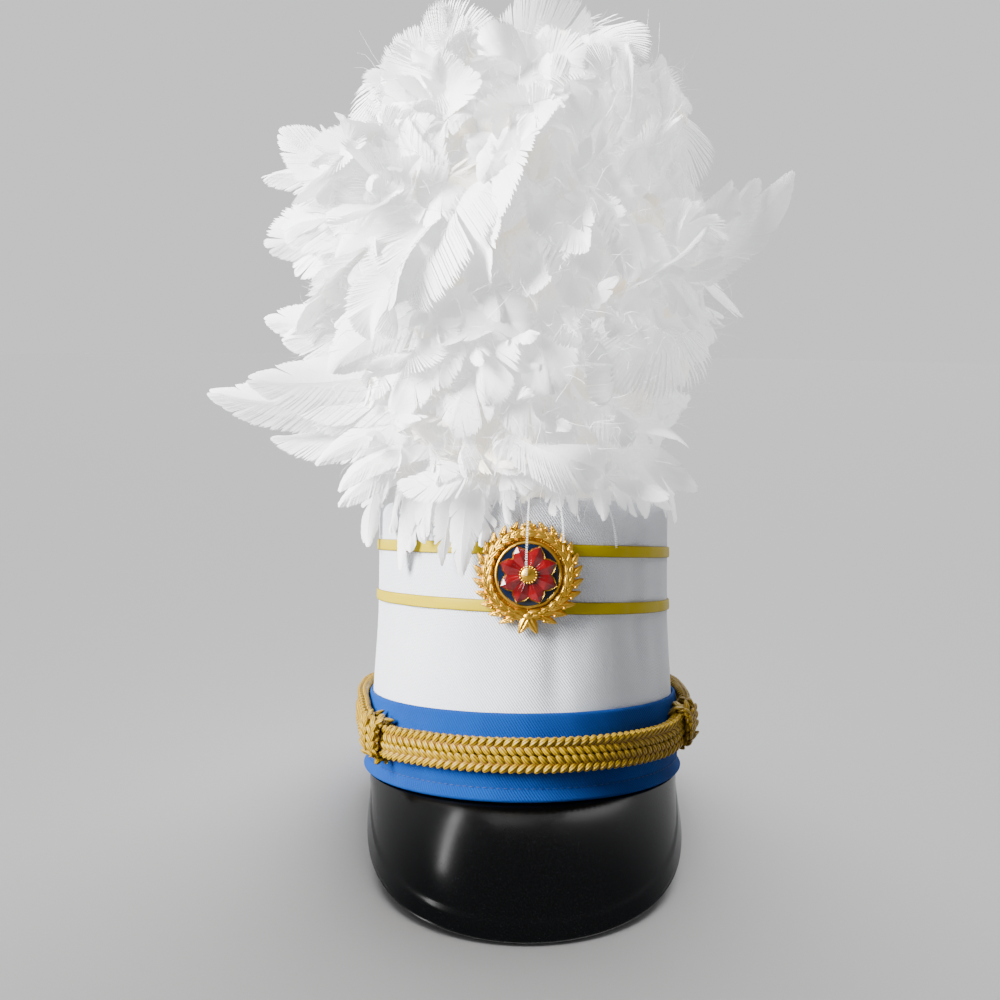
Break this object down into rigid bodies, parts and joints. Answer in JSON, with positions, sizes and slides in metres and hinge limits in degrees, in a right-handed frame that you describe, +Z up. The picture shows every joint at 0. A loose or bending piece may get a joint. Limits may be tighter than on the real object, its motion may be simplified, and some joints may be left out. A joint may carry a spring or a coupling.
{
  "type": "marching band hat",
  "caption": "Stiff cloth drum crown with a curved glossy peak, ribbon and cord trim, a front badge and a tall feather plume.",
  "frame": {"origin": "middle of the bounding box's underside, on the floor that the hat stands on", "axes": "+Z up, the hat's front and peak face -Y, and +X is the wearer's left"},
  "size_m": [0.283, 0.2748, 0.4179],
  "materials": {
    "white_twill": "matte twill over a stiff drum",
    "yellow_satin": "satin",
    "blue_cloth": "matte woven cloth",
    "black_plastic": "high gloss",
    "gold_yarn": "lustrous braided yarn",
    "gilt": "gold anodised, stamped",
    "blue_enamel": "glossy enamel",
    "red_enamel": "glossy enamel",
    "white_feather": "soft feathers",
    "plain_metal": "plain"
  },
  "bodies": {
    "root": {"crown": "white_twill", "ribbon_upper": "yellow_satin", "ribbon_lower": "yellow_satin", "base_band": "blue_cloth", "peak": "black_plastic", "front_cord": "gold_yarn", "cord_knot_left": "gold_yarn", "cord_knot_right": "gold_yarn", "side_button_left": "gilt", "side_button_right": "gilt", "badge_wreath": "gilt", "badge_nut": "plain_metal", "badge_disc": "blue_enamel", "badge_rosette": "red_enamel", "plume": "white_feather", "plume_socket": "plain_metal"}
  },
  "joints": []
}
